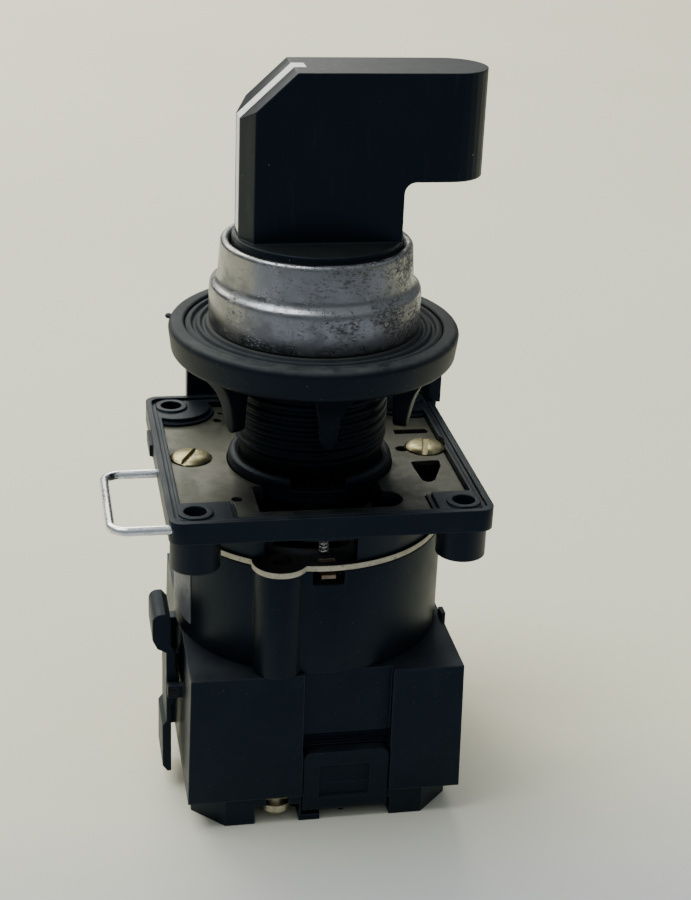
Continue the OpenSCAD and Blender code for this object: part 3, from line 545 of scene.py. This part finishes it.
def lathe_into(mesh, profile, steps=160, radius_at=None):
    """Turns a closed profile of (radius, height) about the axis.

    radius_at, if given, says the radius of a point at an angle.
    """
    rings = []
    for i in range(steps):
        angle = 2 * math.pi * i / steps
        ring = []
        for r, z in profile:
            r = radius_at(r, z, angle) if radius_at else r
            ring.append(mesh.verts.new((r * math.cos(angle), r * math.sin(angle), z)))
        rings.append(ring)
    for i in range(steps):
        one, two = rings[i], rings[(i + 1) % steps]
        for j in range(len(profile)):
            k = (j + 1) % len(profile)
            mesh.faces.new((one[j], two[j], two[k], one[k]))


def size_of(node):
    """Lowest height, highest height and outer radius of a round node, in mm."""
    low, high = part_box(node)
    return low[2] / MM, high[2] / MM, (high[0] - low[0]) / 2 / MM


def add_bezel():
    """Shell with a soft step half way up and a rolled top rim."""
    z0, z1, r = size_of("bezel")
    ledge, seat_z = z0 + 6.6, z0 + 2.7
    top_r, bore, seat_r = 13.5, 12.2, 13.95
    profile = [
        (bore, seat_z), (seat_r, seat_z), (seat_r, z0), (r - 0.12, z0), (r - 0.02, z0 + 0.5),
        (r, ledge - 1.5), (r - 0.12, ledge - 0.75), (r - 0.7, ledge - 0.3),
        (top_r + 0.72, ledge - 0.22), (top_r + 0.45, ledge + 0.1), (top_r + 0.3, ledge + 0.6),
        (top_r + 0.18, ledge + 2.4), (top_r, z1 - 0.35), (top_r - 0.35, z1), (bore + 0.35, z1),
        (bore, z1 - 0.4),
    ]
    mesh = bmesh.new()
    lathe_into(mesh, rounded_outline(profile, 0.35))
    add_piece("bezel_shell", mesh, BASE, "bezel_metal", ["bezel"], sharp=60)


FIN_COUNT = 6
FLASH_AT = 166  # degrees


def add_ring_nut():
    """Disc with a soft lip, and fins that grow out of it in a smooth curve."""
    tip_z, top_z, r = size_of("ring_nut")
    collar_z, disc_z, land_z = 14.2, 15.7, 17.3
    bore, collar_r, land_r = 11.3, 13.4, 18.4
    profile = [
        (bore, collar_z), (collar_r, collar_z), (collar_r + 1, disc_z), (r - 0.9, disc_z),
        (r - 0.45, disc_z + 0.5), (r - 0.02, top_z - 0.7), (r - 0.5, top_z),
        (land_r + 0.25, top_z), (land_r, top_z - 0.3), (land_r, land_z), (bore, land_z),
    ]
    mesh = bmesh.new()
    lathe_into(mesh, rounded_outline(profile, 0.4))
    for fin in range(FIN_COUNT):
        add_fin(mesh, 360 / FIN_COUNT * fin - 90, tip_z, disc_z)
    add_flash(mesh, r, top_z)
    add_piece("finned_nut", mesh, NUT, "nut_plastic", ["ring_nut"], sharp=50)


def add_fin(mesh, angle, tip_z, root_z):
    """Grip fin with a round tip that widens into the disc at root_z."""
    turn = Matrix.Rotation(math.radians(angle), 4, "Z")
    inner_r, tip_r, tip_half, sink, levels = 12.7, 14.6, 1.05, 0.15, 16
    height = root_z - tip_z
    # Half width and height of each ring; the first four go round the tip
    spans = [
        (tip_half * math.sin(a), tip_z + tip_half * (1 - math.cos(a)))
        for a in (math.radians(d) for d in (10, 30, 50, 70))
    ]
    # Both the half width and the reach grow evenly at first, then flare towards the root
    for i in range(2, levels + 1):
        t = i / levels
        spans.append((tip_half + 0.65 * t + 1.5 * t**4, tip_z + height * t))
    rings = []
    for half, z in spans:
        t = (z - tip_z) / height
        outer = tip_r + 1.6 * t + 3.1 * t**4
        section = [
            (inner_r, -half), (outer, -half), (outer + 0.05, 0), (outer, half), (inner_r, half)
        ]
        # The last ring goes a little into the disc
        level = z + (sink if t > 0.98 else 0)
        rings.append([
            mesh.verts.new(turn @ Vector((x, y, level))) for x, y in rounded_outline(section, 0.45)
        ])
    for one, two in zip(rings, rings[1:]):
        for j in range(len(one)):
            k = (j + 1) % len(one)
            mesh.faces.new((one[j], one[k], two[k], two[j]))
    mesh.faces.new(rings[0])
    mesh.faces.new(rings[-1])


def add_flash(mesh, r, top_z):
    """A bit of moulding flash on the left of the lip."""
    angle, reach, size = math.radians(FLASH_AT), r + 0.1, 0.55
    centre = Vector((reach * math.cos(angle), reach * math.sin(angle), top_z - 0.6))
    made = bmesh.ops.create_icosphere(mesh, subdivisions=2, radius=size)
    for vert in made["verts"]:
        vert.co = centre + Vector((vert.co.x, vert.co.y * 1.2, vert.co.z * 0.7))


def drill(piece, start, end, radius):
    """Cuts a round bore from start to end into the piece, and keeps only the result."""
    bit = bmesh.new()
    turn = (end - start).to_track_quat("Z", "Y").to_matrix().to_4x4()
    bmesh.ops.create_cone(
        bit, cap_ends=True, segments=32, radius1=radius, radius2=radius, depth=(end - start).length,
        matrix=Matrix.Translation((start + end) / 2) @ turn,
    )
    data = bpy.data.meshes.new("drill_bit")
    bit.to_mesh(data)
    bit.free()
    data.transform(Matrix.Scale(MM, 4))
    cutter = bpy.data.objects.new("drill_bit", data)
    bpy.context.scene.collection.objects.link(cutter)
    hole = piece.modifiers.new("hole", "BOOLEAN")
    hole.solver = "EXACT"
    hole.object = cutter
    bpy.context.view_layer.update()
    shaped = piece.evaluated_get(bpy.context.evaluated_depsgraph_get())
    piece.data = bpy.data.meshes.new_from_object(shaped)
    piece.modifiers.clear()
    bpy.data.objects.remove(cutter)


def add_neck():
    """Neck with a locking groove, a shallow helical thread and the seat of the bezel."""
    z0, _, _ = size_of("operator_body")
    bore, bearing_r, lock_r, root, crest = 8.5, 6.6, 10.3, 10.55, 10.98
    shank_r, seat_r, rim_r = 10.95, 13.75, 12.05
    seat_low, seat_high, rim_z = 20.25, 22.85, 31
    pitch, thread_low, thread_high, thread_step = 1.5, 1.9, 13.3, 0.125
    run_in, run_out = 1.2, 0.6
    groove = [(lock_r, -3.4), (lock_r - 1, -3.4), (lock_r - 1, -1.8), (lock_r, -1.8)]
    lower = [
        (bore, z0), (lock_r - 0.3, z0), (lock_r, z0 + 0.3), *groove, (lock_r, 0.9), (root, 1.4)
    ]
    steps = int((thread_high - thread_low) / thread_step)
    thread = [
        (root, thread_low + (thread_high - thread_low) * i / steps) for i in range(steps + 1)
    ]
    upper = [
        (shank_r, 13.9), (shank_r, seat_low), (seat_r, seat_low), (seat_r, seat_high),
        (rim_r, seat_high), (rim_r, rim_z), (9.6, rim_z), (9.6, 29.2), (bore, 29.2),
    ]
    bearing = [(bore, 7.2), (bearing_r, 7.2), (bearing_r, 0.8), (bore, 0.8)]

    def with_thread(r, z, angle):
        """Lifts the points at the thread's root into a ridge that fades out at both ends."""
        if not (r == root and thread_low < z < thread_high):
            return r
        phase = (z / pitch - angle / (2 * math.pi)) % 1
        ridge = min(1, max(0, 1.6 - abs(phase - 0.5) * 4))
        fade = min(1, (z - thread_low) / run_in, (thread_high - z) / run_out)
        return root + (crest - root) * ridge * fade

    mesh = bmesh.new()
    lathe_into(mesh, lower + thread + upper + bearing, 144, with_thread)
    neck = add_piece("threaded_neck", mesh, BASE, "neck_plastic", ["operator_body"], sharp=65)
    # Bore that takes the detent ball and its spring, from the shaft outwards
    ball_z, ball_bore = 4, 1.34
    drill(neck, Vector((0, 6, ball_z)), Vector((0, lock_r, ball_z)), ball_bore)


add_bezel()
add_ring_nut()
add_neck()


# ---------------------------------------------------------------- floor and light

FLOOR_DEPTH = cad_box[0].z


def add_floor():
    """A wide sheet of pale paper with a few very shallow waves, flat where the switch stands."""
    half, steps, shift_back, flat_r, wave_height = 2.4, 120, 0.8, 0.12, 0.004
    mesh = bmesh.new()
    rows = []
    for i in range(steps + 1):
        row = []
        for j in range(steps + 1):
            x = (2 * i / steps - 1) * half
            y = (2 * j / steps - 1) * half + shift_back
            away = max(0, math.hypot(x, y) - flat_r)
            wave = 0.5 + 0.5 * math.sin(3.1 * x + 9 * y + 1.3 * math.sin(4 * x))
            level = FLOOR_DEPTH - wave_height * wave * min(1, 3 * away)
            row.append(mesh.verts.new((x, y, level)))
        rows.append(row)
    for i in range(steps):
        for j in range(steps):
            mesh.faces.new((rows[i][j], rows[i + 1][j], rows[i + 1][j + 1], rows[i][j + 1]))
    data = bpy.data.meshes.new("paper_floor")
    mesh.to_mesh(data)
    mesh.free()
    data.shade_smooth()
    floor = bpy.data.objects.new("paper_floor", data)
    floor.data.materials.append(backdrop_paper())
    bpy.context.scene.collection.objects.link(floor)


def add_area_light(name, position, size, power, color):
    """A rectangular lamp, size in metres, that faces the object."""
    data = bpy.data.lights.new(name, "AREA")
    data.shape = "RECTANGLE"
    data.size, data.size_y = size
    data.energy = power
    data.color = color
    lamp = bpy.data.objects.new(name, data)
    lamp.location = position
    lamp.rotation_euler = (-Vector(position)).to_track_quat("-Z", "Y").to_euler()
    bpy.context.scene.collection.objects.link(lamp)


def add_lights():
    """A warm window behind, a softer one overhead and a sky that is brighter higher up."""
    add_area_light("window", (-0.35, 1.3, 1.05), (1.5, 0.9), 30, (1.0, 0.96, 0.84))
    add_area_light("softbox", (-0.6, 0.05, 1.5), (0.9, 0.9), 22, (0.94, 0.97, 1.0))
    world = bpy.data.worlds.new("studio")
    world.use_nodes = True
    tree = world.node_tree
    sky = tree.nodes["Background"]
    direction = tree.nodes.new("ShaderNodeTexCoord").outputs["Generated"]
    height = tree.nodes.new("ShaderNodeSeparateXYZ")
    tree.links.new(direction, height.inputs[0])
    brightness = tree.nodes.new("ShaderNodeMapRange")
    tree.links.new(height.outputs[2], brightness.inputs["Value"])
    for socket, value in (("From Min", 0.0), ("From Max", 0.7), ("To Min", 0.1), ("To Max", 0.6)):
        brightness.inputs[socket].default_value = value
    tree.links.new(brightness.outputs[0], sky.inputs["Strength"])
    sky.inputs["Color"].default_value = (0.84, 0.92, 1.0, 1)
    bpy.context.scene.world = world


add_floor()
add_lights()
